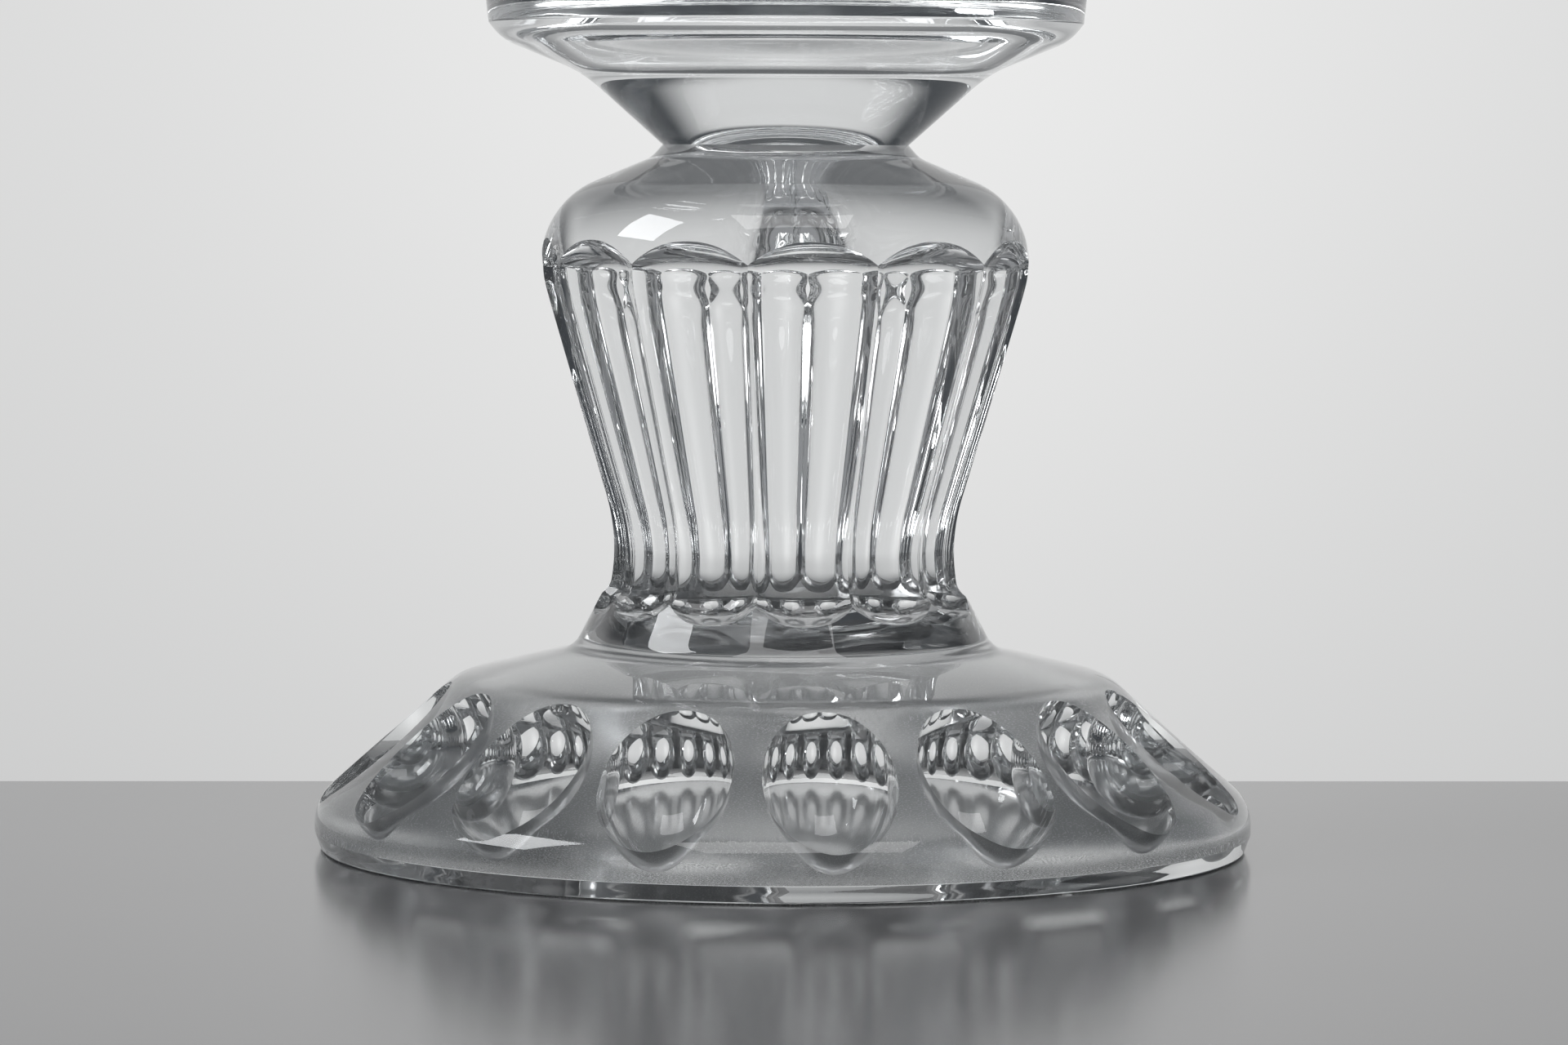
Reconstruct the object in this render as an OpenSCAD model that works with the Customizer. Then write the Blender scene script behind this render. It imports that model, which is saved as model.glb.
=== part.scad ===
// Covered cut-glass goblet: a heavy foot with olive cuts, a fluted baluster stem,
// a bowl on a flared base, and a domed lid with a fluted knop.
// All lengths are millimetres. The standing face is z = 0 and the axis is Z.

/* [Foot] */
// Diameter of the foot at its widest
foot_d = 120; // [100:1:150]
// Height of the ground bevel along the lower edge
foot_bevel_h = 2.2; // [1:0.1:3]
// How far that bevel draws in the standing face
foot_bevel_in = 0.8; // [0.5:0.1:3]
// Height of the corner between the edge and the olive-cut slope, before rounding
foot_edge_h = 5.8; // [5:0.1:8]
// Radius that rounds the edge into the slope
foot_edge_round = 6; // [2:0.5:6]
// Angle of the olive-cut slope above the horizontal
foot_slope = 41.5; // [36:0.5:46]
// Diameter at which the slope meets the plain top
foot_shoulder_d = 83.6; // [78:0.2:86]
// Radius that rounds this shoulder
foot_shoulder_round = 8; // [1:0.5:9]
// Angle of the plain top above the horizontal
foot_top_slope = 13.3; // [8:0.1:18]
// Diameter at the root of the collar that carries the stem, before the fillet
collar_d = 53.8; // [52:0.2:58]
// Fillet at the root of the collar
collar_fillet = 4; // [1:0.5:5]
// Height of the collar above its root
collar_h = 3.3; // [2.2:0.1:4]
// Angle of the collar's side above the horizontal
collar_slope = 62.5; // [55:0.5:70]

/* [Olive cuts] */
// Number of olive cuts round the foot
olive_count = 16; // [10:1:18]
// Radius of the wheel that cuts them
olive_wheel_r = 16; // [14:0.5:24]
// Radius of the rounded edge of that wheel
olive_edge_r = 9; // [8:0.25:10]
// Depth of a cut below the slope at its middle
olive_depth = 6; // [4:0.1:6.5]
// Distance of its middle from the shoulder, down the slope
olive_place = 13.2; // [12.2:0.1:13.8]
// How much steeper than the slope the cuts run
olive_tilt = 2.7; // [0:0.1:4]

/* [Stem] */
// Height of the fluted stem between its two joints
stem_h = 61; // [58:0.5:66]
// Height of the plain ring below the flutes
stem_ring_h = 4.9; // [4.5:0.1:5.2]
// Diameter of the blank that the flutes are cut into
blank_d = 62.4; // [61:0.2:64]
// Diameter of the blank at the waist, before the flutes are cut
blank_waist_d = 53; // [51:0.2:54]
// Height of the narrower part of the blank above the plain ring
blank_waist_h = 11; // [10:0.5:14]
// Angle of the shoulder's top above the horizontal
shoulder_slope = 22.8; // [18:0.2:26]
// Radius of the smooth shoulder
shoulder_round = 11.3; // [8:0.1:12]
// Diameter of the neck, where stem and bowl meet
neck_d = 31.4; // [30:0.2:33]
// Height of the steep part of the neck
neck_h = 1.6; // [1:0.1:2]
// How far the neck widens over that height
neck_flare = 1.4; // [0.6:0.1:2]
// Fillet between the neck and the shoulder
neck_fillet = 4; // [1:0.5:4.5]

/* [Flutes] */
// Number of flutes round the stem, an even number
flute_count = 12; // [10:2:14]
// How much higher every other flute stands, as in work cut by hand
flute_stagger = 0.1; // [0.05:0.05:0.3]
// Radius of the hollow of a flute
flute_r = 11; // [10.5:0.25:12]
// Distance from the axis to the hollow at the waist
flute_waist_r = 19.3; // [18.8:0.1:19.8]
// Height of the waist above the foot joint
flute_waist_h = 9.2; // [8.8:0.1:9.6]
// Radius of the waist along the flute
flute_waist_round = 24; // [20:1:30]
// Angle at which the flutes widen upwards from the vertical
flute_taper = 11.6; // [11:0.1:12]
// Angle of the waist below its narrowest point
flute_waist_turn = 9; // [8:0.5:10]
// Depth of the upper end of a flute below the neck
flute_top_drop = 15.7; // [15:0.1:16.5]
// Radius of the scoop at the upper end
scoop_top_r = 4.6; // [4.3:0.1:5]
// Radius of the scoop at the lower end
scoop_low_r = 5; // [4.8:0.1:5.4]
// How far both scoops cut below the hollow
scoop_dip = 0.4; // [0.2:0.05:0.6]

/* [Bowl] */
// Height of the bowl from the neck to the rim
bowl_h = 147; // [120:1:180]
// Diameter at which the flared base turns flatter
flare_d = 52; // [46:0.5:56]
// Angle of the flare above the neck
flare_slope = 41.6; // [36:0.2:46]
// Radius of that turn
flare_round = 17; // [8:0.5:18]
// Diameter at which the base turns up towards the band
saucer_d = 72.4; // [70:0.2:73]
// Angle of the flatter part
saucer_slope = 22; // [18:0.5:26]
// Radius of the turn to the band
saucer_round = 7; // [3:0.5:8]
// Diameter of the lower edge of the band
band_d = 75.8; // [75:0.2:80]
// Height of the turned-up part below the band
band_rise = 2.2; // [1.5:0.1:3]
// Height of the band
band_h = 3.5; // [2.5:0.1:6]
// Widening of the band from its lower to its upper edge
band_flare = 0.8; // [0:0.1:1.6]
// Diameter at the underside of the cup, before rounding
cup_d = 86; // [82:0.5:92]
// Height of the cup's underside above the band
cup_rise = 3.7; // [2:0.1:5]
// Radius that rounds the underside into the wall
cup_round = 4; // [1:0.5:5]
// Diameter of the rim
rim_d = 94; // [88:0.5:110]
// Thickness of the wall at the rim
rim_wall = 4.2; // [3:0.1:6]
// Thickness of the wall at the bottom of the cup
cup_wall = 5.4; // [4:0.1:8]
// Thickness of the cup's bottom above the band
cup_floor = 9; // [6:0.5:14]
// Radius of the hollow's lower corner
cup_hollow_round = 20; // [8:0.5:24]
// Radius that softens both edges of the rim
rim_round = 1; // [0.4:0.1:1.4]

/* [Lid] */
// How far the lid stands over the rim
lid_overhang = 1.5; // [0.5:0.1:3]
// Thickness of the lid's edge
lid_edge_h = 4.5; // [3:0.1:6]
// Radius that softens the lid's edges
lid_lip_round = 1; // [0.4:0.1:1.2]
// Depth of the flange that drops into the mouth
flange_h = 8; // [5:0.5:14]
// Thickness of the flange
flange_wall = 3.2; // [2.8:0.1:5]
// Gap between the flange and the mouth, on the radius
flange_gap = 0.6; // [0.3:0.1:1.2]
// Gap between the rim and the lid's seat
seat_gap = 0.05; // [0.02:0.01:0.2]
// Width of the flat ledge round the dome
lid_ledge = 5; // [4:0.1:6]
// Fillet between the ledge and the dome
lid_ledge_fillet = 2; // [0.5:0.1:3]
// Height of the dome above the ledge
dome_h = 24; // [22:0.5:30]
// Diameter at which the dome's side turns into its top, before rounding
dome_turn_d = 74; // [70:0.5:78]
// Height of that turn above the ledge
dome_turn_h = 13; // [11:0.5:15]
// Radius of the dome's shoulder
dome_round = 16; // [8:0.5:17]
// Thickness of the dome
dome_wall = 5; // [4:0.1:6]
// Diameter of the dome's top, where the knop stands
dome_top_d = 20; // [18:0.5:22]

/* [Knop] */
// Height of the knop
knop_h = 42; // [40:0.5:50]
// Diameter of its waist, before rounding
knop_waist_d = 12; // [10:0.5:14]
// Height of the waist
knop_waist_h = 6; // [5:0.5:7]
// Radius of the waist
knop_waist_round = 4; // [1:0.5:5]
// Diameter of its widest part, before rounding
knop_d = 38; // [34:0.5:40]
// Height of its widest part
knop_wide_h = 30; // [28:0.5:32]
// Radius of its widest part
knop_round = 9; // [6:0.5:10]
// Diameter of the flat tip
knop_tip_d = 8; // [6:0.5:12]
// Radius that softens the tip
knop_tip_round = 2; // [0.5:0.1:2.5]
// Number of flutes round the knop
knop_flutes = 8; // [7:1:9]
// Radius of the wheel that cuts them
knop_wheel_r = 40; // [30:1:60]
// Radius of the rounded edge of that wheel
knop_edge_r = 9; // [7:0.25:10]
// Depth of these flutes below the knop's side
knop_flute_depth = 1.6; // [1.2:0.1:1.8]
// Height of the deepest point of a flute
knop_flute_h = 19; // [18:0.5:20]
// Angle of the wheel that is turned either side of that point
knop_wheel_turn = 20; // [18:1:24]

/* [Hidden] */
$fn = 96;
glass = "#c9d3d8";
// Overlap that lets a cutter run clear of what it cuts
clear = 1;
// How much larger the circle of a rounded corner is, so that it crosses the sides cleanly
swell = 0.0005;
// How far that circle is kept beyond the rounding's two ends
margin = 0.3;

foot_r = foot_d / 2;
shoulder_r = foot_shoulder_d / 2;
shoulder_z = foot_edge_h + (foot_r - shoulder_r) * tan(foot_slope);
collar_r = collar_d / 2;
collar_z = shoulder_z + (shoulder_r - collar_r) * tan(foot_top_slope);
stem_z = collar_z + collar_h;
seat_r = collar_r - collar_h / tan(collar_slope);

neck_r = neck_d / 2;
neck_z = stem_z + stem_h;
ring_r = seat_r - stem_ring_h / tan(collar_slope);
ring_z = stem_z + stem_ring_h;
blank_r = blank_d / 2;
blank_waist_r = blank_waist_d / 2;
neck_root_r = neck_r + neck_flare;
neck_root_z = neck_z - neck_h;
shoulder_top_z = neck_root_z - (blank_r - neck_root_r) * tan(shoulder_slope);

flare_r = flare_d / 2;
flare_z = neck_z + (flare_r - neck_r) * tan(flare_slope);
saucer_r = saucer_d / 2;
saucer_z = flare_z + (saucer_r - flare_r) * tan(saucer_slope);
band_r = band_d / 2;
band_z = saucer_z + band_rise;
band_top_r = band_r + band_flare / 2;
band_top_z = band_z + band_h;
cup_r = cup_d / 2;
cup_z = band_top_z + cup_rise;
rim_r = rim_d / 2;
rim_z = neck_z + bowl_h;
mouth_r = rim_r - rim_wall;
hollow_r = cup_r - cup_wall;
hollow_z = band_top_z + cup_floor;

lid_r = rim_r + lid_overhang;
lid_z = rim_z + seat_gap;
ledge_z = lid_z + lid_edge_h;
// The mouth narrows downwards, so the flange clears it at its lower end
mouth_taper = (mouth_r - hollow_r) / (rim_z - hollow_z);
flange_r = mouth_r - mouth_taper * flange_h - flange_gap;
flange_in_r = flange_r - flange_wall;
flange_z = lid_z - flange_h;
dome_r = lid_r - lid_ledge;
dome_turn_r = dome_turn_d / 2;
dome_turn_z = ledge_z + dome_turn_h;
dome_top_r = dome_top_d / 2;
knop_z = ledge_z + dome_h;

knop_waist_r = knop_waist_d / 2;
knop_r = knop_d / 2;
knop_tip_r = knop_tip_d / 2;
// Angle of the knop's side from the vertical
knop_lean = atan((knop_r - knop_waist_r) / (knop_wide_h - knop_waist_h));

function unit(v) = v / norm(v);
function side(a, b, c) = cross(b - a, c - b);
function flat(p) = [p[0], p[1]];
// Distance from a corner to where its rounding starts
function reach(a, b, c, r) = r / tan(acos(unit(a - b) * unit(c - b)) / 2);
function start_of(a, b, c, r) = b + unit(a - b) * reach(a, b, c, r);
function end_of(a, b, c, r) = b + unit(c - b) * reach(a, b, c, r);
function centre_of(a, b, c, r) =
    b + unit(unit(a - b) + unit(c - b)) * norm([reach(a, b, c, r), r]);

// The piece of a circle between the chord from p to q and its arc, a little beyond both ends
module arc_piece(p, q, centre, r) {
    out = unit((p + q) / 2 - centre);
    past = unit(q - p) * margin;
    intersection() {
        translate(centre) circle(r + swell);
        polygon([
            p - past - out * margin,
            q + past - out * margin,
            q + past + out * r,
            p - past + out * r,
        ]);
    }
}

// An outline drawn counter-clockwise through corners [x, y, radius], each rounded by its radius
module rounded_outline(corners) {
    n = len(corners);
    at = function (i) flat(corners[(i + n) % n]);
    points = [
        for (i = [0 : n - 1]) each corners[i][2] > 0
            ? [start_of(at(i - 1), at(i), at(i + 1), corners[i][2]),
               end_of(at(i - 1), at(i), at(i + 1), corners[i][2])]
            : [at(i)]
    ];
    difference() {
        union() {
            polygon(points);
            for (i = [0 : n - 1])
                if (corners[i][2] > 0 && side(at(i - 1), at(i), at(i + 1)) > 0)
                    corner_arc(at(i - 1), at(i), at(i + 1), corners[i][2]);
        }
        for (i = [0 : n - 1])
            if (corners[i][2] > 0 && side(at(i - 1), at(i), at(i + 1)) < 0)
                corner_arc(at(i - 1), at(i), at(i + 1), corners[i][2]);
    }
}

module corner_arc(a, b, c, r) {
    arc_piece(start_of(a, b, c, r), end_of(a, b, c, r), centre_of(a, b, c, r), r);
}

module turned(corners) {
    rotate_extrude() rounded_outline(corners);
}

// A cutting wheel of radius r with a rounded edge, its axis along Y.
// It is turned only from one angle to another, where it cuts
module wheel(r, edge_r, from = 0, to = 360) {
    rotate([90, 0, 0])
        rotate_extrude(start = from, angle = to - from)
            intersection() {
                translate([r - edge_r, 0]) circle(edge_r);
                translate([0, -edge_r]) square([r, 2 * edge_r]);
            }
}

module around(count) {
    for (i = [0 : count - 1]) rotate(i * 360 / count) children();
}

module foot() {
    color(glass) difference() {
        turned([
            [0, 0, 0],
            [foot_r - foot_bevel_in, 0, 0],
            [foot_r, foot_bevel_h, 0],
            [foot_r, foot_edge_h, foot_edge_round],
            [shoulder_r, shoulder_z, foot_shoulder_round],
            [collar_r, collar_z, collar_fillet],
            [seat_r, stem_z, 0],
            [0, stem_z, 0],
        ]);
        around(olive_count) olive_cut();
    }
}

// The wheel stands nearly square to the slope and sinks to the depth of the cut
module olive_cut() {
    translate([shoulder_r, 0, shoulder_z])
        rotate([0, foot_slope, 0])
            translate([olive_place, 0, 0])
                rotate([0, olive_tilt, 0])
                    intersection() {
                        translate([0, 0, olive_wheel_r - olive_depth]) wheel(olive_wheel_r, olive_edge_r);
                        translate([-olive_wheel_r, -olive_edge_r, -olive_depth - clear])
                            cube([2 * olive_wheel_r, 2 * olive_edge_r, olive_depth + 2 * clear]);
                    }
}

// Every other flute is cut first, then those between them
module stem() {
    color(glass) difference() {
        difference() {
            stem_blank();
            around(flute_count / 2) flute_cut();
        }
        rotate(360 / flute_count)
            translate([0, 0, flute_stagger])
                around(flute_count / 2) flute_cut();
    }
}

module stem_blank() {
    turned([
        [0, stem_z, 0],
        [seat_r, stem_z, 0],
        [ring_r, ring_z, 0],
        [blank_waist_r, ring_z, 0],
        [blank_waist_r, ring_z + blank_waist_h, 0],
        [blank_r, ring_z + blank_waist_h, 0],
        [blank_r, shoulder_top_z, shoulder_round],
        [neck_root_r, neck_root_z, neck_fillet],
        [neck_r, neck_z, 0],
        [0, neck_z, 0],
    ]);
}

// A hollow that follows the waist and then widens straight upwards, with a scoop at either end.
// Its own Z runs up the bottom of the straight part, with the waist's end at zero
module flute_cut() {
    waist_axis = [flute_waist_r + flute_waist_round, stem_z + flute_waist_h];
    start = waist_axis + flute_waist_round * [-cos(flute_taper), sin(flute_taper)];
    run = (neck_z - flute_top_drop - start[1]) / cos(flute_taper);
    turn = flute_taper + flute_waist_turn;
    translate([start[0], 0, start[1]])
        rotate([0, flute_taper, 0]) {
            translate([flute_r, 0, 0]) cylinder(r = flute_r, h = run);
            translate([flute_waist_round, 0, 0]) wheel(flute_waist_round, flute_r, 180, 180 + turn);
            translate([scoop_top_r - scoop_dip, 0, run]) wheel(scoop_top_r, flute_r);
            translate([flute_waist_round, 0, 0])
                rotate([0, -turn, 0])
                    translate([scoop_low_r - scoop_dip - flute_waist_round, 0, 0])
                        wheel(scoop_low_r, flute_r);
        }
}

module bowl() {
    color(glass) turned([
        [0, neck_z, 0],
        [neck_r, neck_z, 0],
        [flare_r, flare_z, flare_round],
        [saucer_r, saucer_z, saucer_round],
        [band_r, band_z, 0],
        [band_top_r, band_top_z, 0],
        [cup_r, cup_z, cup_round],
        [rim_r, rim_z, rim_round],
        [mouth_r, rim_z, rim_round],
        [hollow_r, hollow_z, cup_hollow_round],
        [0, hollow_z, 0],
    ]);
}

module lid() {
    color(glass) turned([
        [0, knop_z - dome_wall, 0],
        [dome_turn_r - dome_wall, dome_turn_z - dome_wall, dome_round - dome_wall],
        [flange_in_r, lid_z, dome_wall],
        [flange_in_r, flange_z, lid_lip_round],
        [flange_r, flange_z, lid_lip_round],
        [flange_r, lid_z, 0],
        [lid_r, lid_z, lid_lip_round],
        [lid_r, ledge_z, lid_lip_round],
        [dome_r, ledge_z, lid_ledge_fillet],
        [dome_turn_r, dome_turn_z, dome_round],
        [dome_top_r, knop_z, 0],
        [0, knop_z, 0],
    ]);
}

module lid_knop() {
    color(glass) difference() {
        turned([
            [0, knop_z, 0],
            [dome_top_r, knop_z, 0],
            [knop_waist_r, knop_z + knop_waist_h, knop_waist_round],
            [knop_r, knop_z + knop_wide_h, knop_round],
            [knop_tip_r, knop_z + knop_h, knop_tip_round],
            [0, knop_z + knop_h, 0],
        ]);
        around(knop_flutes) knop_cut();
    }
}

// The wheel stands square to the knop's side
module knop_cut() {
    side_r = knop_waist_r + (knop_flute_h - knop_waist_h) * tan(knop_lean);
    translate([side_r, 0, knop_z + knop_flute_h])
        rotate([0, knop_lean, 0])
            translate([knop_wheel_r - knop_flute_depth, 0, 0])
                wheel(knop_wheel_r, knop_edge_r, 180 - knop_wheel_turn, 180 + knop_wheel_turn);
}

foot();
stem();
bowl();
lid();
lid_knop();
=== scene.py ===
"""A covered cut-glass goblet on a table, seen low from the front."""

import math

import bmesh
import bpy
import numpy as np
from mathutils import Matrix, Vector


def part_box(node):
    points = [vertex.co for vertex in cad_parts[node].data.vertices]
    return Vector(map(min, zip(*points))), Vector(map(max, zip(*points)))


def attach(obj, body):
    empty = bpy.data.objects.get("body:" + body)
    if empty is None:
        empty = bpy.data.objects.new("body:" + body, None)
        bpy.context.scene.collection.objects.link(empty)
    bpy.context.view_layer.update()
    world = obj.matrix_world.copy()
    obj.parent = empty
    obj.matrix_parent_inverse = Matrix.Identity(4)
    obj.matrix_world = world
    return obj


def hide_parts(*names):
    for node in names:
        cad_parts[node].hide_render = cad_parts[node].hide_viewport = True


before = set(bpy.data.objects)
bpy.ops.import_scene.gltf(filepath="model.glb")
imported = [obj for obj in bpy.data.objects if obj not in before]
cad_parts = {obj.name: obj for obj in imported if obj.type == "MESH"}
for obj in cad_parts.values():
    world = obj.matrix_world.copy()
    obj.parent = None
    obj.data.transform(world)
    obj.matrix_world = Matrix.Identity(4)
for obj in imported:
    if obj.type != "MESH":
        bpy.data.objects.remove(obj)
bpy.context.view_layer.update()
MM = 0.001
TAU = 2 * math.pi
# The front of the goblet, where a flute and an olive face
FRONT_ANGLE = -math.pi / 2
# A length that counts as nothing, in millimetres
TINY = 1e-6


# Heights of the joints, in millimetres, from the solids
def top_of(node):
    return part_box(node)[1].z / MM


STEM_Z = top_of("foot")
NECK_Z = top_of("stem")
RIM_Z = top_of("bowl")
KNOP_Z = top_of("lid")
TOP_Z = top_of("lid_knop")


# Outlines

def outline(corners, line_step=0.6, arc_step=4.0):
    """Points (r, z) along the straight sides and rounded corners given as (r, z, radius)."""
    points = [np.array(corners[0][:2], float)]

    def line_to(p):
        a = points[-1]
        length = np.linalg.norm(p - a)
        if length < TINY:
            return
        n = max(1, math.ceil(length / line_step))
        points.extend(a + (p - a) * k / n for k in range(1, n + 1))

    for before, here, after in zip(corners, corners[1:], corners[2:]):
        a, b, c = (np.array(x[:2], float) for x in (before, here, after))
        radius = here[2]
        if radius <= 0:
            line_to(b)
            continue
        u = (a - b) / np.linalg.norm(a - b)
        v = (c - b) / np.linalg.norm(c - b)
        half = math.acos(float(u @ v)) / 2
        reach = radius / math.tan(half)
        centre = b + (u + v) / np.linalg.norm(u + v) * radius / math.sin(half)
        line_to(b + u * reach)
        start = b + u * reach - centre
        end = b + v * reach - centre
        a0 = math.atan2(start[1], start[0])
        turn = (math.atan2(end[1], end[0]) - a0 + math.pi) % TAU - math.pi
        n = max(2, math.ceil(abs(math.degrees(turn)) / arc_step))
        for k in range(1, n + 1):
            t = a0 + turn * k / n
            points.append(centre + radius * np.array([math.cos(t), math.sin(t)]))
    line_to(np.array(corners[-1][:2], float))
    return np.array(points)


def along(points):
    """Distance along an outline at each of its points."""
    return np.concatenate([[0], np.cumsum(np.linalg.norm(np.diff(points, axis=0), axis=1))])


def resample(points, n):
    """The same outline with n even steps."""
    s = along(points)
    t = np.linspace(0, s[-1], n + 1)
    return np.stack([np.interp(t, s, points[:, 0]), np.interp(t, s, points[:, 1])], axis=1)


# Meshes

# Points nearer than this are one, in metres; faces that meet at more than this angle have an edge
SAME_POINT = 2e-7
SHARP_ANGLE = math.radians(22)


def mesh_object(name, verts, faces, slots, materials, normals=None):
    """A closed mesh in the row frame from millimetre points; slots gives each face's material.

    The surface's own normals, where a function gives them, shade it in place of the faces' ones."""
    mesh = bpy.data.meshes.new(name)
    mesh.from_pydata((np.asarray(verts) * MM).tolist(), [], faces)
    for m in materials:
        mesh.materials.append(m)
    mesh.polygons.foreach_set("material_index", np.asarray(slots, np.int32))
    bm = bmesh.new()
    bm.from_mesh(mesh)
    bmesh.ops.remove_doubles(bm, verts=bm.verts, dist=SAME_POINT)
    bmesh.ops.recalc_face_normals(bm, faces=bm.faces)
    bm.to_mesh(mesh)
    bm.free()
    mesh.polygons.foreach_set("use_smooth", [True] * len(mesh.polygons))
    mesh.set_sharp_from_angle(angle=SHARP_ANGLE)
    if normals:
        corners = np.array([(v, p.index) for p in mesh.polygons for v in p.vertices])
        points = np.array([v.co for v in mesh.vertices])[corners[:, 0]] / MM
        flat = np.array([p.normal for p in mesh.polygons])[corners[:, 1]]
        kinds = np.array([p.material_index for p in mesh.polygons])[corners[:, 1]]
        mesh.normals_split_custom_set(normals(points, flat, kinds).tolist())
    obj = bpy.data.objects.new(name, mesh)
    bpy.context.scene.collection.objects.link(obj)
    return obj


def ring_grid(radii, heights, angles, slot_rows):
    """A tube of rows from bottom to top; radii and heights are (rows, columns)."""
    rows, cols = radii.shape
    x = radii * np.cos(angles)[None, :]
    y = radii * np.sin(angles)[None, :]
    verts = np.stack([x, y, heights], axis=2).reshape(-1, 3)
    faces, slots = [], []
    for i in range(rows - 1):
        for j in range(cols):
            k = (j + 1) % cols
            faces.append((i * cols + j, i * cols + k, (i + 1) * cols + k, (i + 1) * cols + j))
            slots.append(slot_rows[i])
    return verts, faces, slots


def capped(verts, faces, slots, row, cols, z, up, slot):
    """Closes one end of a tube with a disc of rings, so that no face of it is a long sliver."""
    verts = list(map(tuple, verts))
    first = row * cols
    ring = list(range(first, first + cols))
    edge = np.array([verts[i] for i in ring])
    edge[:, 2] = z
    for share in (0.75, 0.5, 0.25):
        base = len(verts)
        verts.extend(tuple(p) for p in edge * (share, share, 1))
        inner = list(range(base, base + cols))
        for j in range(cols):
            k = (j + 1) % cols
            quad = (ring[j], ring[k], inner[k], inner[j])
            faces.append(quad if up else quad[::-1])
            slots.append(slot)
        ring = inner
    verts.append((0.0, 0.0, z))
    for j in range(cols):
        k = (j + 1) % cols
        tri = (ring[j], ring[k], len(verts) - 1)
        faces.append(tri if up else tri[::-1])
        slots.append(slot)
    return verts, faces, slots


def turned(name, points, cols, materials, end_slots=(0, 0)):
    """A turned piece from an outline; the end rows are closed with discs."""
    angles = np.arange(cols) * TAU / cols
    radii = np.repeat(points[:, 0][:, None], cols, axis=1)
    heights = np.repeat(points[:, 1][:, None], cols, axis=1)
    parts = ring_grid(radii, heights, angles, [0] * (len(points) - 1))
    parts = capped(*parts, row=0, cols=cols, z=points[0, 1], up=False, slot=end_slots[0])
    last = len(points) - 1
    parts = capped(*parts, row=last, cols=cols, z=points[-1, 1], up=True, slot=end_slots[1])
    return mesh_object(name, *parts, materials)


# Materials

def node_material(name):
    m = bpy.data.materials.new(name)
    m.use_nodes = True
    return m, m.node_tree.nodes, m.node_tree.links


GLASS_IOR = 1.53
GLASS_COLOUR = (0.975, 0.988, 0.992)
# The polishing marks: the part of their noise that shows, and the share of roughness between them
MARKS_FROM, MARKS_TO = 0.45, 0.75
MARKS_BETWEEN = 0.3
# Waves to a metre in the surface
WAVES = 90


def noise(nodes, links, where, scale, detail):
    """The value of a noise over the object."""
    node = nodes.new("ShaderNodeTexNoise")
    node.inputs["Scale"].default_value = scale
    node.inputs["Detail"].default_value = detail
    links.new(where.outputs["Object"], node.inputs["Vector"])
    return node.outputs["Fac"]


def bump(nodes, links, height, distance):
    node = nodes.new("ShaderNodeBump")
    node.inputs["Strength"].default_value = 1
    node.inputs["Distance"].default_value = distance
    links.new(height, node.inputs["Height"])
    return node


def glass_material(name, roughness, grain, grain_size, wave, clear=1.0, colour=GLASS_COLOUR):
    """Glass with fine polishing marks and a faint waviness.

    clear is the share of light that is let through."""
    m, nodes, links = node_material(name)
    shader = nodes["Principled BSDF"]
    shader.inputs["Base Color"].default_value = (*colour, 1)
    shader.inputs["Transmission Weight"].default_value = clear
    shader.inputs["IOR"].default_value = GLASS_IOR
    where = nodes.new("ShaderNodeTexCoord")
    fine = noise(nodes, links, where, scale=grain_size, detail=3)
    spread = nodes.new("ShaderNodeMapRange")
    spread.inputs["From Min"].default_value = MARKS_FROM
    spread.inputs["From Max"].default_value = MARKS_TO
    spread.inputs["To Min"].default_value = roughness * MARKS_BETWEEN
    spread.inputs["To Max"].default_value = roughness
    links.new(fine, spread.inputs["Value"])
    links.new(spread.outputs["Result"], shader.inputs["Roughness"])
    swell = bump(nodes, links, noise(nodes, links, where, scale=WAVES, detail=1), wave)
    marks = bump(nodes, links, fine, grain)
    links.new(swell.outputs["Normal"], marks.inputs["Normal"])
    links.new(marks.outputs["Normal"], shader.inputs["Normal"])
    return m


def joint_material():
    """Fused faces inside the glass, which bend no light."""
    m, nodes, links = node_material("fused_joint")
    clear = nodes.new("ShaderNodeBsdfTransparent")
    nodes.remove(nodes["Principled BSDF"])
    links.new(clear.outputs["BSDF"], nodes["Material Output"].inputs["Surface"])
    return m


GLASS = glass_material("clear_glass", roughness=0.02, grain=2e-7, grain_size=2500, wave=2e-6)
CUT = glass_material("cut_glass", roughness=0.05, grain=1.2e-6, grain_size=3500, wave=2e-6)
GROUND = glass_material("ground_glass", roughness=0.45, grain=1e-6, grain_size=4000, wave=0,
                        clear=0.5, colour=(0.38, 0.39, 0.395))
JOINT = joint_material()
MATERIALS = (GLASS, CUT, GROUND, JOINT)
PLAIN_SLOT, CUT_SLOT, GROUND_SLOT, JOINT_SLOT = range(4)


# Stem: flutes between a plain ring below and a smooth shoulder above

FLUTES = 12
FLUTE_COLS = 18
HALF_FLUTE = math.pi / FLUTES
# The seat on the foot, the slope of the ring above it, the blank that the flutes are cut into,
# and the neck
SEAT_R = 25.18
RING_LEAN = math.tan(math.radians(62.5))
BLANK_R = 31.15
NECK_R = 15.7
# The ridges: their waist, the turn above it, their lean and how softly they end on the blank
RIDGE_WAIST_R = 21.84
RIDGE_WAIST_Z = STEM_Z + 9.2
RIDGE_ROUND = 24.0
RIDGE_LEAN = math.radians(16.5)
RIDGE_BLEND = 0.15
# Radius of a flute's hollow at the waist and at its upper end
HOLLOW_LOW = 8.3
HOLLOW_HIGH = 14.5
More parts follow.
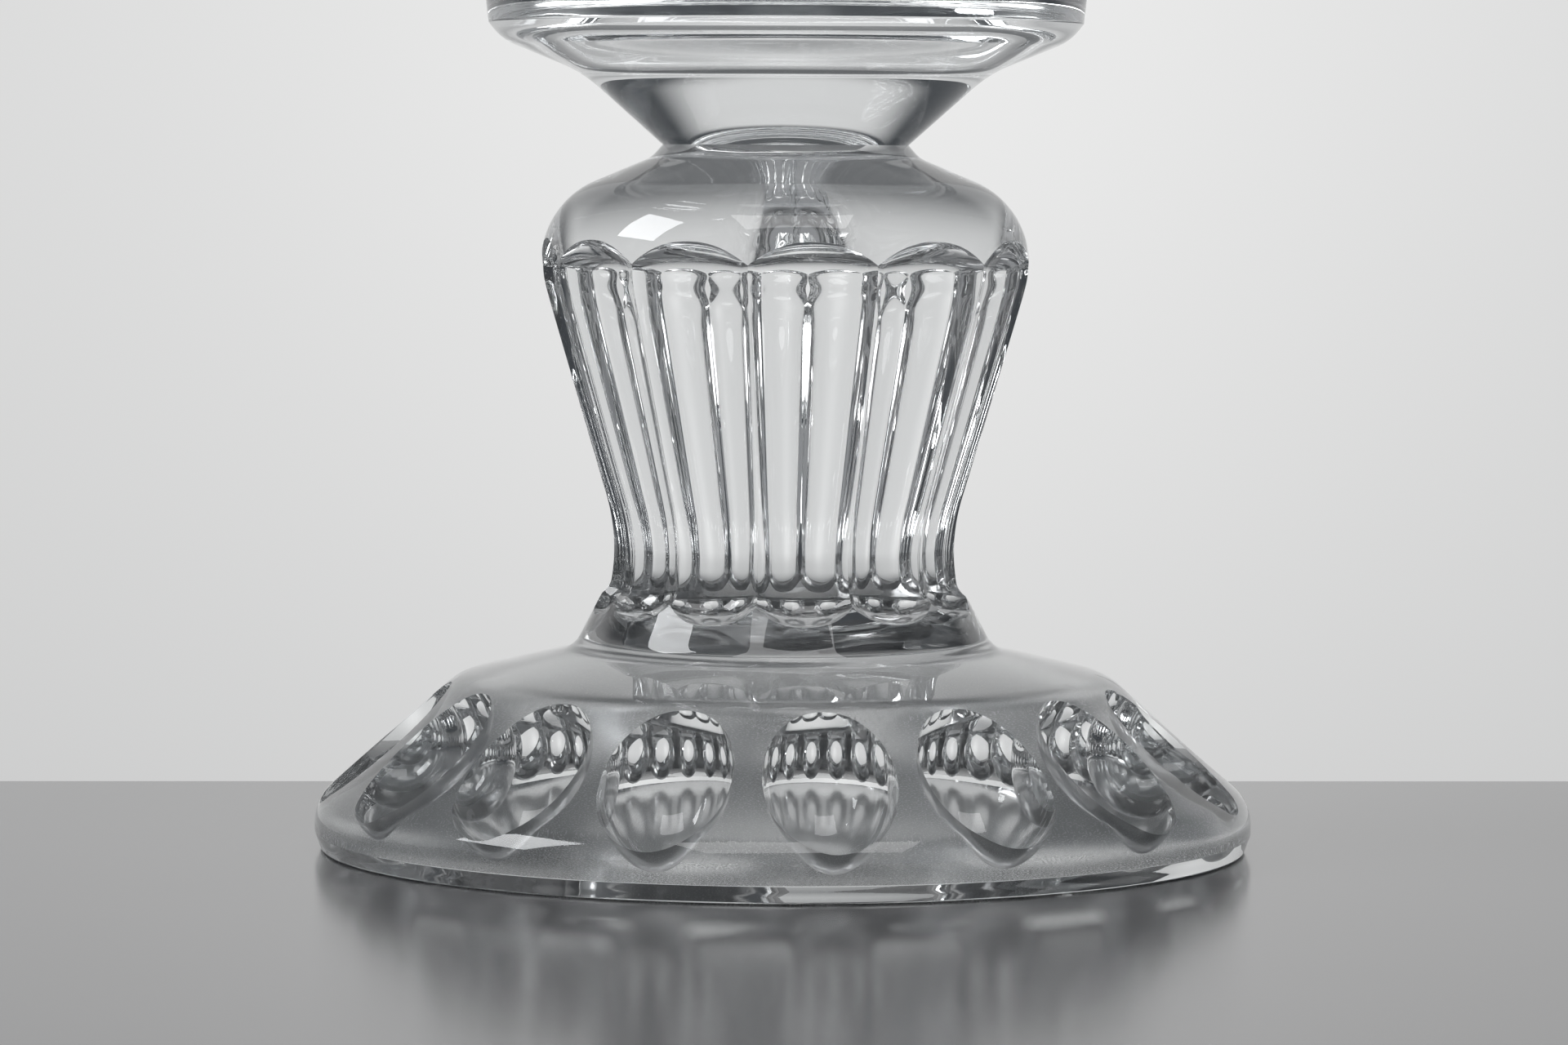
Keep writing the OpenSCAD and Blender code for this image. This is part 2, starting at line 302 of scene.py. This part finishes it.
# Ends of the flutes at a ridge and in their middle, where the scoop to them begins, and how square
# the arch is
LOW_CUSP_Z = STEM_Z + 3.5
LOW_APEX_Z = STEM_Z + 1.2
LOW_SCOOP_Z = STEM_Z + 5.1
LOW_ARCH = 2.4
HIGH_CUSP_Z = NECK_Z - 14.8
HIGH_APEX_Z = NECK_Z - 11.9
HIGH_SCOOP_Z = NECK_Z - 15.9
HIGH_ARCH = 2.2
# Lengths over which a ridge flares into the ring below and fades into the shoulder above
RIDGE_FLARE = 1.9
RIDGE_FADE = 1.0
# How far the hand-cut flutes have wandered round the stem by its back
FLUTE_WANDER = math.radians(8)
# The shoulder over the flutes and the crease under the neck
SHOULDER_FOOT_Z = NECK_Z - 29
SHOULDER_Z = NECK_Z - 7.5
SHOULDER_ROUND = 11.3
CREASE_R = 17.1
CREASE_Z = NECK_Z - 1.6
CREASE_ROUND = 4.0
# A scoop that bends less than this is straight; points this near to a flute's end are left out
NO_BEND = 0.02
LIP_GAP = 0.02
# Rows of the ring, the lower scoop, the hollow, the upper scoop and the shoulder
STEM_ROWS = (10, 16, 116, 20, 48)


def ridge_radius(z):
    """Distance from the axis to the ridge between two flutes."""
    turn = RIDGE_WAIST_Z + RIDGE_ROUND * math.sin(RIDGE_LEAN)
    turn_r = RIDGE_WAIST_R + RIDGE_ROUND * (1 - math.cos(RIDGE_LEAN))
    off = np.minimum(np.abs(z - RIDGE_WAIST_Z), RIDGE_ROUND)
    arc = RIDGE_WAIST_R + RIDGE_ROUND - np.sqrt(RIDGE_ROUND ** 2 - off ** 2)
    gap = BLANK_R - np.where(z > turn, turn_r + (z - turn) * math.tan(RIDGE_LEAN), arc)
    return BLANK_R - (gap + np.sqrt(gap ** 2 + RIDGE_BLEND)) / 2


def hollow_radius(theta, z):
    """Distance from the axis to a flute's hollow at an angle from its middle."""
    a = ridge_radius(z)
    share = np.clip((z - RIDGE_WAIST_Z) / (HIGH_CUSP_Z - RIDGE_WAIST_Z), 0, 1)
    rho = HOLLOW_LOW + (HOLLOW_HIGH - HOLLOW_LOW) * share
    d = a * math.cos(HALF_FLUTE) + np.sqrt(rho ** 2 - (a * math.sin(HALF_FLUTE)) ** 2)
    return d * np.cos(theta) - np.sqrt(rho ** 2 - (d * np.sin(theta)) ** 2)


def arc_from(p, q, heading, n):
    """Points of the arc that leaves p in a direction and ends at q."""
    chord = q - p
    length = np.linalg.norm(chord)
    along_chord = chord / length
    across = np.array([chord[1], -chord[0]]) / length
    turn = math.atan2(heading @ across, heading @ along_chord)
    if abs(turn) < NO_BEND:
        return p + chord * np.linspace(0, 1, n + 1)[:, None]
    radius = length / (2 * math.sin(turn))
    angle = turn * np.linspace(-1, 1, n + 1)
    run = radius * np.sin(angle) + length / 2
    sag = radius * (np.cos(angle) - math.cos(turn))
    return p + along_chord * run[:, None] + across * sag[:, None]


SHOULDER = outline(
    [(BLANK_R, SHOULDER_FOOT_Z, 0), (BLANK_R, SHOULDER_Z, SHOULDER_ROUND),
     (CREASE_R, CREASE_Z, CREASE_ROUND), (NECK_R, NECK_Z, 0)], line_step=0.4, arc_step=2)


def stem_profile(theta):
    """The stem's outline at an angle from the middle of a flute, from the foot joint to the neck."""
    t = theta / HALF_FLUTE
    low_arch = LOW_APEX_Z + (LOW_CUSP_Z - LOW_APEX_Z) * t ** LOW_ARCH
    low_scoop = LOW_SCOOP_Z + (LOW_CUSP_Z + RIDGE_FLARE - LOW_SCOOP_Z) * t ** 2
    high_scoop = HIGH_SCOOP_Z + (HIGH_CUSP_Z - RIDGE_FADE - HIGH_SCOOP_Z) * t ** 2
    high_arch = HIGH_CUSP_Z + (HIGH_APEX_Z - HIGH_CUSP_Z) * (1 - t ** HIGH_ARCH)
    ring_r = SEAT_R - (low_arch - STEM_Z) / RING_LEAN
    z = np.linspace(low_scoop, high_scoop, STEM_ROWS[2] + 1)
    hollow = np.stack([hollow_radius(theta, z), z], axis=1)
    foot_end = np.array([SEAT_R, STEM_Z])
    low_lip = np.array([ring_r, low_arch])
    high_lip = np.array([np.interp(high_arch, SHOULDER[:, 1], SHOULDER[:, 0]), high_arch])
    ring = foot_end + (low_lip - foot_end) * np.linspace(0, 1, STEM_ROWS[0] + 1)[:, None]
    low = arc_from(hollow[0], low_lip, hollow[0] - hollow[1], STEM_ROWS[1])[::-1]
    high = arc_from(hollow[-1], high_lip, hollow[-1] - hollow[-2], STEM_ROWS[3])
    over = SHOULDER[SHOULDER[:, 1] > high_arch + LIP_GAP]
    top = resample(np.vstack([high_lip, over]), STEM_ROWS[4])
    return np.vstack([ring, low[1:], hollow[1:], high[1:], top[1:]])


def make_stem():
    half = [stem_profile(HALF_FLUTE * j / FLUTE_COLS) for j in range(FLUTE_COLS + 1)]
    columns, angles = [], []
    for k in range(FLUTES):
        for j in range(-FLUTE_COLS, FLUTE_COLS):
            columns.append(half[abs(j)])
            around = k * 2 * HALF_FLUTE + HALF_FLUTE * j / FLUTE_COLS
            angles.append(FRONT_ANGLE + around + FLUTE_WANDER * (1 - math.cos(around)) / 2)
    grid = np.array(columns)
    rows = grid.shape[1]
    slot_rows = [PLAIN_SLOT] * (rows - 1)
    parts = ring_grid(grid[:, :, 0].T, grid[:, :, 1].T, np.array(angles), slot_rows)
    cols = len(angles)
    parts = capped(*parts, row=0, cols=cols, z=STEM_Z, up=False, slot=JOINT_SLOT)
    parts = capped(*parts, row=rows - 1, cols=cols, z=NECK_Z, up=True, slot=JOINT_SLOT)
    return mesh_object("fluted_stem", *parts, MATERIALS)


# Foot: a turned foot with olive cuts on its slope

OLIVES = 16
OLIVE_COLS = 72
HALF_OLIVE = math.pi / OLIVES
FOOT_R = 60.0
FOOT_SLOPE = math.radians(41.5)
FOOT_EDGE_ROUND = 6.0
# The collar under the stem, and the plain top that falls from it to the brow of the slope
COLLAR_R = 26.9
COLLAR_Z = STEM_Z - 3.3
COLLAR_ROUND = 4.0
TOP_SLOPE = math.radians(13.3)
BROW_R = 41.8
BROW_Z = COLLAR_Z - (BROW_R - COLLAR_R) * math.tan(TOP_SLOPE)
BROW_ROUND = 8.0
EDGE_Z = BROW_Z - (FOOT_R - BROW_R) * math.tan(FOOT_SLOPE)
# The bevel under the edge, and the rim of the disc that closes the standing face
BEVEL_Z = 2.2
BEVEL_ROUND = 0.4
STANDING_R = 59.2
STANDING_ROUND = 0.3
DISC_R = 52.0
# The wheel that cuts an olive: where it goes in down the slope, and how; it stands a little
# steeper than square to the slope
OLIVE_PLACE = 12.4
OLIVE_LEAN = FOOT_SLOPE + math.radians(2.7)
OLIVE_WHEEL_R = 11.4
OLIVE_DEPTH = 10.9
# Half the width of that wheel, and the height of its rounded edge
OLIVE_HALF = 8.2
OLIVE_EDGE_H = 11.0
OLIVE_INNER_ROWS = 32
OLIVE_OUTER_ROWS = 8
# A distance from an olive's middle that is outside it, and the halvings that find its edge
OLIVE_OUTSIDE = 16.0
OLIVE_HALVINGS = 40
# The ring of sectors with an olive each: how far it reaches up and down the slope, and how near to
# it points of the outline are left out
SECTOR_UP = 14.6
SECTOR_DOWN = 14.3
SECTOR_GAP = 0.1
# A face whose normal is this upright is flat
FLAT = 0.9999
# The least that a cut's surface faces the wheel's rim, at its steep edge, squared
LEVEL_MIN = 0.001

FOOT_LINE = outline(
    [(SEAT_R, STEM_Z, 0), (COLLAR_R, COLLAR_Z, COLLAR_ROUND), (BROW_R, BROW_Z, BROW_ROUND),
     (FOOT_R, EDGE_Z, FOOT_EDGE_ROUND), (FOOT_R, BEVEL_Z, BEVEL_ROUND),
     (STANDING_R, 0, STANDING_ROUND), (DISC_R, 0, 0)], line_step=0.9, arc_step=3)
FOOT_S = along(FOOT_LINE)
FOOT_TURN = np.gradient(FOOT_LINE, FOOT_S, axis=0)
OLIVE_AT = np.array([BROW_R + OLIVE_PLACE * math.cos(FOOT_SLOPE),
                     BROW_Z - OLIVE_PLACE * math.sin(FOOT_SLOPE)])
DOWN = np.array([math.cos(OLIVE_LEAN), -math.sin(OLIVE_LEAN)])
OUT = np.array([math.sin(OLIVE_LEAN), math.cos(OLIVE_LEAN)])


def foot_point(s):
    """Points (r, z) at distances along the foot's outline."""
    return np.stack([np.interp(s, FOOT_S, FOOT_LINE[:, k]) for k in (0, 1)], axis=-1)


def foot_place(r, z):
    """Nearest place on the foot's outline to points (r, z), and the height over it."""
    a, b = FOOT_LINE[:-1], FOOT_LINE[1:]
    d = b - a
    p = np.stack([r, z], axis=-1)[..., None, :]
    t = np.clip(((p - a) * d).sum(-1) / (d * d).sum(-1), 0, 1)
    off = p - (a + d * t[..., None])
    dist = np.linalg.norm(off, axis=-1)
    nearest = dist.argmin(-1)

    def take(x):
        return np.take_along_axis(x, nearest[..., None], -1)[..., 0]

    side = take(off[..., 0] * -d[:, 1] + off[..., 1] * d[:, 0])
    s = FOOT_S[nearest] + take(t) * np.linalg.norm(d, axis=1)[nearest]
    return s, np.sign(side) * take(dist)


def olive_surface(t, q):
    """Points (x, y, z) of an olive cut t across and q down the slope from its middle, facing +X."""
    level = np.sqrt(np.maximum(1 - (t / OLIVE_HALF) ** 2, 0))
    edge = OLIVE_WHEEL_R - OLIVE_EDGE_H + OLIVE_EDGE_H * level
    n = OLIVE_WHEEL_R - OLIVE_DEPTH - np.sqrt(np.maximum(edge ** 2 - q ** 2, 0))
    rz = OLIVE_AT + q[..., None] * DOWN + n[..., None] * OUT
    return np.stack([rz[..., 0], t, rz[..., 1]], axis=-1)


def from_axis(points):
    """Distance from the axis and height of points."""
    return np.hypot(points[..., 0], points[..., 1]), points[..., 2]


def foot_normals(points, flat, kinds):
    """Normals of the olive cuts, the turned surface and the flat ends at points of the foot."""
    x, y, z = points.T
    theta = np.arctan2(y, x)
    place = foot_place(*from_axis(points))[0]
    run, rise = (np.interp(place, FOOT_S, FOOT_TURN[:, k]) for k in (0, 1))
    turned_n = np.stack([-rise * np.cos(theta), -rise * np.sin(theta), run], axis=1)
    # In a cut, square to the wheel's rounded edge
    middle = np.round((theta - FRONT_ANGLE) / (2 * HALF_OLIVE)) * 2 * HALF_OLIVE + FRONT_ANGLE
    c, s = np.cos(middle), np.sin(middle)
    hub = OLIVE_AT + (OLIVE_WHEEL_R - OLIVE_DEPTH) * OUT
    rz = np.stack([c * x + s * y, z], axis=1) - hub
    across = c * y - s * x
    level = np.sqrt(np.maximum(1 - (across / OLIVE_HALF) ** 2, LEVEL_MIN))
    inward = -rz / np.linalg.norm(rz, axis=1)[:, None] * level[:, None]
    across = across * OLIVE_EDGE_H / OLIVE_HALF ** 2
    cut_n = np.stack(
        [c * inward[:, 0] + s * across, s * inward[:, 0] - c * across, inward[:, 1]], axis=1)
    normals = np.where((kinds == CUT_SLOT)[:, None], cut_n, turned_n)
    normals = np.where((np.abs(flat[:, 2]) > FLAT)[:, None], flat, normals)
    return normals / np.linalg.norm(normals, axis=1)[:, None]


def olive_sector(place, side):
    """Points, faces and slots of the foot's slope round one olive, facing +X.

    place is the olive's place along the foot's outline, and side has even steps from 0 to 1."""
    # Round the four sides of the sector, as -1 to 1 across and down
    one, step = np.ones(len(side)), 2 * side - 1
    square = np.concatenate([np.stack(pair, axis=1) for pair in (
        (step, -one), (one, step), (-step, one), (-one, -step))])
    sector_theta = square[:, 0] * HALF_OLIVE
    sector_s = place + square[:, 1] * np.where(square[:, 1] < 0, SECTOR_UP, SECTOR_DOWN)
    heading = np.stack([sector_theta * OLIVE_AT[0], sector_s - place], axis=1)
    heading /= np.linalg.norm(heading, axis=1)[:, None]
    t, q = heading.T
    # The cut's edge, where its surface meets the foot's own
    near, far = np.zeros(len(heading)), np.full(len(heading), OLIVE_OUTSIDE)
    for _ in range(OLIVE_HALVINGS):
        mid = (near + far) / 2
        points = olive_surface(np.clip(mid * t, -OLIVE_HALF, OLIVE_HALF), mid * q)
        inside = (foot_place(*from_axis(points))[1] < 0) & (np.abs(mid * t) < OLIVE_HALF)
        near, far = np.where(inside, mid, near), np.where(inside, far, mid)
    # Rows in the cut, closer together towards its steep edge, and from there to the sector's sides
    shares = np.sin(np.linspace(0, math.pi / 2, OLIVE_INNER_ROWS + 1)[1:])
    rows = [olive_surface(near * share * t, near * share * q) for share in shares]
    edge = rows[-1]
    edge_theta = np.arctan2(edge[:, 1], edge[:, 0])
    edge_s = foot_place(*from_axis(edge))[0]
    for share in np.linspace(0, 1, OLIVE_OUTER_ROWS + 1)[1:]:
        theta = edge_theta + (sector_theta - edge_theta) * share
        r, z = foot_point(edge_s + (sector_s - edge_s) * share).T
        rows.append(np.stack([r * np.cos(theta), r * np.sin(theta), z], axis=1))
    verts = np.vstack([olive_surface(np.zeros(1), np.zeros(1))] + rows)
    faces, slots = [], []
    n = len(heading)
    for j in range(n):
        k = (j + 1) % n
        faces.append((0, 1 + k, 1 + j))
        slots.append(CUT_SLOT)
        for i in range(len(rows) - 1):
            a, b = 1 + i * n, 1 + (i + 1) * n
            faces.append((a + j, a + k, b + k, b + j))
            slots.append(CUT_SLOT if i < OLIVE_INNER_ROWS - 1 else PLAIN_SLOT)
    return verts, faces, slots


def make_foot():
    verts, faces, slots = [], [], []

    def add(parts):
        base = len(verts)
        verts.extend(tuple(p) for p in parts[0])
        faces.extend(tuple(base + v for v in f) for f in parts[1])
        slots.extend(parts[2])

    place = float(foot_place(*OLIVE_AT)[0])
    side = np.linspace(0, 1, OLIVE_COLS // 4 + 1)[:-1]
    middles = FRONT_ANGLE + np.arange(OLIVES) * 2 * HALF_OLIVE
    points, sector_faces, sector_slots = olive_sector(place, side)
    for middle in middles:
        c, s = math.cos(middle), math.sin(middle)
        around = np.array([[c, s, 0], [-s, c, 0], [0, 0, 1]])
        add((points @ around, sector_faces, sector_slots))
    # Plain parts above and below the ring of olives
    angles = (middles[:, None] + (2 * side - 1) * HALF_OLIVE).ravel()
    cols = len(angles)
    top_s, low_s = place - SECTOR_UP, place + SECTOR_DOWN
    above = foot_point(np.append(FOOT_S[FOOT_S < top_s - SECTOR_GAP], top_s))
    below = foot_point(np.append(low_s, FOOT_S[FOOT_S > low_s + SECTOR_GAP]))
    ends = ((above, 0, STEM_Z, JOINT_SLOT), (below, len(below) - 1, 0.0, GROUND_SLOT))
    for line, row, z, slot in ends:
        radii, heights = (np.repeat(line[:, k][:, None], cols, axis=1) for k in (0, 1))
        standing = np.maximum(line[:-1, 1], line[1:, 1]) < TINY
        slot_rows = np.where(standing, GROUND_SLOT, PLAIN_SLOT).tolist()
        parts = ring_grid(radii, heights, angles, slot_rows)
        add(capped(*parts, row=row, cols=cols, z=z, up=row == 0, slot=slot))
    return mesh_object("olive_cut_foot", verts, faces, slots, MATERIALS, normals=foot_normals)


# Bowl and lid

BOWL_COLS = 288
# Corners of the bowl's outline, as distance from the axis, height and rounding: the flare and the
# band over the stem, the wall up to the rim, and the cup inside
FLARE = (26.0, NECK_Z + 9.14, 17.0)
BRIM = (36.2, NECK_Z + 13.26, 7.0)
BAND_LOW = (37.9, NECK_Z + 15.46, 0.5)
BAND_HIGH = (38.3, NECK_Z + 18.96, 0.6)
WALL_FOOT = (43.0, NECK_Z + 22.66, 4.0)
RIM = (47.0, RIM_Z, 1.0)
MOUTH = (42.8, RIM_Z, 1.0)
CUP_EDGE = (37.6, NECK_Z + 27.96, 20.0)
CUP_FLOOR = (1.0, NECK_Z + 27.96, 0)
BOWL = outline([(NECK_R, NECK_Z, 0), FLARE, BRIM, BAND_LOW, BAND_HIGH, WALL_FOOT,
                RIM, MOUTH, CUP_EDGE, CUP_FLOOR], line_step=0.9)

# The lid lies on the rim, with its flange in the mouth
LID_PLAY = 0.05
LID_Z = RIM_Z + LID_PLAY
LID_RIM_R = 48.5
LID_RIM_Z = LID_Z + 4.5
FLANGE_R = 41.8
FLANGE_BORE = 38.6
FLANGE_Z = LID_Z - 8
# Corners of its vault inside, and of its dome
VAULT_TOP = (1.0, KNOP_Z - 5, 0)
VAULT = (32.0, LID_Z + 12.5, 11.0)
VAULT_FOOT = (FLANGE_BORE, LID_Z, 5.0)
DOME_FOOT = (43.5, LID_RIM_Z, 2.0)
DOME = (37.0, LID_Z + 17.5, 16.0)
LID_TOP = (10.0, KNOP_Z, 0)
LID = outline([VAULT_TOP, VAULT, VAULT_FOOT, (FLANGE_BORE, FLANGE_Z, 1), (FLANGE_R, FLANGE_Z, 1),
               (FLANGE_R, LID_Z, 0.3), (LID_RIM_R, LID_Z, 1), (LID_RIM_R, LID_RIM_Z, 1),
               DOME_FOOT, DOME, LID_TOP], line_step=0.9)

# Corners of the knop, and its flutes: between which heights, how deep, and how they fade out
KNOP_FLUTES = 8
KNOP_COLS = 14
KNOP_WAIST = (6.0, KNOP_Z + 6, 4.0)
KNOP_WIDEST = (19.0, KNOP_Z + 30, 9.0)
KNOP_CROWN = (4.0, TOP_Z, 2.0)
KNOP_TIP = (0.5, TOP_Z, 0)
KNOP = outline([LID_TOP, KNOP_WAIST, KNOP_WIDEST, KNOP_CROWN, KNOP_TIP], line_step=0.4)
KNOP_LOW, KNOP_HIGH = KNOP_Z + 9, KNOP_Z + 30
KNOP_DEPTH = 1.7
KNOP_FADE = 1.4


def make_knop():
    share = np.clip((KNOP[:, 1] - KNOP_LOW) / (KNOP_HIGH - KNOP_LOW), 0, 1)
    depth = KNOP_DEPTH * np.sin(math.pi * share) ** KNOP_FADE
    half = math.pi / KNOP_FLUTES
    offsets = np.arange(-KNOP_COLS, KNOP_COLS) / KNOP_COLS
    angles = np.concatenate([FRONT_ANGLE + (2 * k + offsets) * half for k in range(KNOP_FLUTES)])
    sink = np.tile(1 - offsets ** 2, KNOP_FLUTES)
    radii = KNOP[:, 0][:, None] - depth[:, None] * sink[None, :]
    cols, last = len(angles), len(KNOP) - 1
    heights = np.repeat(KNOP[:, 1][:, None], cols, axis=1)
    parts = ring_grid(radii, heights, angles, [PLAIN_SLOT] * last)
    parts = capped(*parts, row=0, cols=cols, z=KNOP_Z, up=False, slot=JOINT_SLOT)
    parts = capped(*parts, row=last, cols=cols, z=TOP_Z, up=True, slot=PLAIN_SLOT)
    return mesh_object("fluted_knop", *parts, MATERIALS)


pieces = {
    "foot": (make_foot(), "goblet"),
    "stem": (make_stem(), "goblet"),
    "bowl": (turned("flared_bowl", BOWL, BOWL_COLS, MATERIALS, (JOINT_SLOT, PLAIN_SLOT)), "goblet"),
    "lid": (turned("domed_lid", LID, BOWL_COLS, MATERIALS, (PLAIN_SLOT, JOINT_SLOT)), "cover"),
    "lid_knop": (make_knop(), "cover"),
}
for node, (piece, body) in pieces.items():
    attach(piece, body)
    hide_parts(node)


# Stage, in metres

# The table: its far edge, turned a little, with a lip below it, and its height just under the foot
TABLE_BACK = 0.0752
TABLE_TURN = math.radians(-4.2)
TABLE_REACH = 3.0
TABLE_LIP = 0.03
TABLE_Z = -0.0002
TABLE_COLOUR = (0.1, 0.1, 0.103)
TABLE_ROUGHNESS = 0.16
TABLE_IOR = 1.7
# Its faint cloudiness: clouds to a metre, and how much they lighten and darken it
CLOUDS = 40
CLOUDINESS = 0.05


def table_material():
    """A plain, glossy surface with a faint cloudiness."""
    m, nodes, links = node_material("table_grey")
    shader = nodes["Principled BSDF"]
    shader.inputs["Roughness"].default_value = TABLE_ROUGHNESS
    shader.inputs["IOR"].default_value = TABLE_IOR
    mix = nodes.new("ShaderNodeMix")
    mix.data_type = "RGBA"
    mix.inputs["A"].default_value = (*[c * (1 - CLOUDINESS) for c in TABLE_COLOUR], 1)
    mix.inputs["B"].default_value = (*[c * (1 + CLOUDINESS) for c in TABLE_COLOUR], 1)
    cloud = noise(nodes, links, nodes.new("ShaderNodeTexCoord"), scale=CLOUDS, detail=4)
    links.new(cloud, mix.inputs["Factor"])
    links.new(mix.outputs["Result"], shader.inputs["Base Color"])
    return m


def make_table():
    mesh = bpy.data.meshes.new("table")
    x, front, back, z = TABLE_REACH, -TABLE_REACH, TABLE_BACK, TABLE_Z
    top = [(-x, front, z), (x, front, z), (x, back, z), (-x, back, z)]
    lip = [(x, back, z - TABLE_LIP), (-x, back, z - TABLE_LIP)]
    mesh.from_pydata(top + lip, [], [(0, 1, 2, 3), (3, 2, 4, 5)])
    mesh.materials.append(table_material())
    obj = bpy.data.objects.new("table", mesh)
    obj.rotation_euler.z = TABLE_TURN
    bpy.context.scene.collection.objects.link(obj)


make_table()


# The backdrop as seen from the goblet: its tone, the azimuth of its middle, its half width and half
# height, and the softness of its edge as shares of them
BACKDROP = 0.64
BACKDROP_TINT = (1.0, 0.995, 0.985)
BACKDROP_TURN = math.radians(3)
BACKDROP_WIDE = math.radians(57)
BACKDROP_HIGH = math.radians(42)
BACKDROP_EDGE = (0.82, 1.12)
# Its half width below the table, the heights between which that changes, and its fall in tone
BACKDROP_LOW_WIDE = math.radians(54)
BACKDROP_NARROWS = (-0.18, 0.05)
BACKDROP_FALLS = (-0.6, 0.06)
BACKDROP_LOW = 0.15
# The brighter spot behind the goblet
SPOT = 0.25
SPOT_SIZE = (math.radians(7), math.radians(12))
SPOT_UP = math.radians(3)
SPOT_TURN = math.radians(7)
# The dim room, and the lighter part of it in front, with the depths between which it lightens
ROOM = (0.045, 0.05, 0.056)
FRONT = (0.27, 0.276, 0.285)
FRONT_FROM = (-0.1, -0.7)


def make_world():
    """A lit backdrop behind the goblet in a dim room."""
    world = bpy.data.worlds.new("studio")
    bpy.context.scene.world = world
    world.use_nodes = True
    nodes, links = world.node_tree.nodes, world.node_tree.links
    where = nodes.new("ShaderNodeTexCoord")
    split = nodes.new("ShaderNodeSeparateXYZ")
    links.new(where.outputs["Generated"], split.inputs["Vector"])

    def set_or_link(socket, value):
        if isinstance(value, (int, float)):
            socket.default_value = value
        else:
            links.new(value, socket)

    def calc(kind, *values):
        node = nodes.new("ShaderNodeMath")
        node.operation = kind
        for socket, value in zip(node.inputs, values):
            set_or_link(socket, value)
        return node.outputs[0]

    def ramp(value, start, end, low=0.0, high=1.0):
        node = nodes.new("ShaderNodeMapRange")
        node.interpolation_type = "SMOOTHSTEP"
        for socket, given in zip(node.inputs, (value, start, end, low, high)):
            set_or_link(socket, given)
        return node.outputs["Result"]

    def distance(a, b):
        return calc("SQRT", calc("ADD", calc("POWER", a, 2.0), calc("POWER", b, 2.0)))

    x, y, z = (split.outputs[k] for k in "XYZ")
    azimuth = calc("ARCTAN2", x, y)
    around = calc("ABSOLUTE", calc("SUBTRACT", azimuth, BACKDROP_TURN))
    up = calc("ARCSINE", z)
    wide = ramp(z, *BACKDROP_NARROWS, BACKDROP_LOW_WIDE, BACKDROP_WIDE)
    high = calc("DIVIDE", calc("MAXIMUM", up, 0.0), BACKDROP_HIGH)
    lit = ramp(distance(calc("DIVIDE", around, wide), high), *BACKDROP_EDGE, 1.0, 0.0)
    lit = calc("MULTIPLY", lit, ramp(z, *BACKDROP_FALLS, BACKDROP_LOW, 1.0))
    aside = calc("DIVIDE", calc("SUBTRACT", azimuth, SPOT_TURN), SPOT_SIZE[0])
    over = calc("DIVIDE", calc("SUBTRACT", up, SPOT_UP), SPOT_SIZE[1])
    off = distance(aside, over)
    spot = calc("EXPONENT", calc("MULTIPLY", calc("POWER", off, 2.0), -1.0))
    lit = calc("MULTIPLY", lit, calc("MULTIPLY_ADD", spot, SPOT, 1.0))
    room = nodes.new("ShaderNodeMix")
    room.data_type = "RGBA"
    room.inputs["A"].default_value = (*ROOM, 1)
    room.inputs["B"].default_value = (*FRONT, 1)
    links.new(ramp(y, *FRONT_FROM), room.inputs["Factor"])
    dim, bright = nodes["Background"], nodes.new("ShaderNodeBackground")
    both = nodes.new("ShaderNodeAddShader")
    links.new(room.outputs["Result"], dim.inputs["Color"])
    bright.inputs["Color"].default_value = (*BACKDROP_TINT, 1)
    links.new(calc("MULTIPLY", lit, BACKDROP), bright.inputs["Strength"])
    links.new(dim.outputs["Background"], both.inputs[0])
    links.new(bright.outputs["Background"], both.inputs[1])
    links.new(both.outputs["Shader"], nodes["World Output"].inputs["Surface"])


make_world()


def area_light(name, place, target, size, power, colour):
    data = bpy.data.lights.new(name, "AREA")
    data.shape = "RECTANGLE"
    data.size, data.size_y = size
    data.energy = power
    data.color = colour
    obj = bpy.data.objects.new(name, data)
    obj.location = place
    obj.rotation_euler = (Vector(target) - Vector(place)).to_track_quat("-Z", "Y").to_euler()
    bpy.context.scene.collection.objects.link(obj)


area_light("window", place=(-0.85, -0.05, 0.72), target=(0, 0, 0.08), size=(0.42, 0.45), power=5,
           colour=(0.97, 0.985, 1))
area_light("ceiling", place=(0, -0.7, 1.5), target=(0, -0.1, 0), size=(1.2, 0.8), power=9,
           colour=(1, 1, 1))


# Camera, in metres, for a frame of 1920 by 1280

FRAME_W = 1920
FOCAL_PX = 7000
SENSOR_W = 36
CAM_NEAR = 0.05
CAM_DIST = 0.731
CAM_HEIGHT = 0.0887
CAM_AZIMUTH = math.radians(6.4)
CAM_PITCH = math.radians(3.7)
CAM_ROLL = math.radians(0.25)
# Light is turned back many times inside cut glass before it leaves
BOUNCES = 48

scene = bpy.context.scene
cam_data = bpy.data.cameras.new("camera")
cam_data.sensor_width = SENSOR_W
cam_data.lens = FOCAL_PX / FRAME_W * SENSOR_W
cam_data.clip_start = CAM_NEAR
camera = bpy.data.objects.new("camera", cam_data)
scene.collection.objects.link(camera)
turn = Matrix.Rotation(-CAM_AZIMUTH, 4, "Z")
tilt = Matrix.Rotation(math.pi / 2 - CAM_PITCH, 4, "X")
roll = Matrix.Rotation(CAM_ROLL, 4, "Z")
place = turn @ Vector((0, -CAM_DIST, CAM_HEIGHT))
camera.matrix_world = Matrix.Translation(place) @ turn @ tilt @ roll
scene.camera = camera
scene.view_settings.view_transform = "Standard"
scene.cycles.max_bounces = scene.cycles.transparent_max_bounces = BOUNCES
scene.cycles.glossy_bounces = scene.cycles.transmission_bounces = BOUNCES
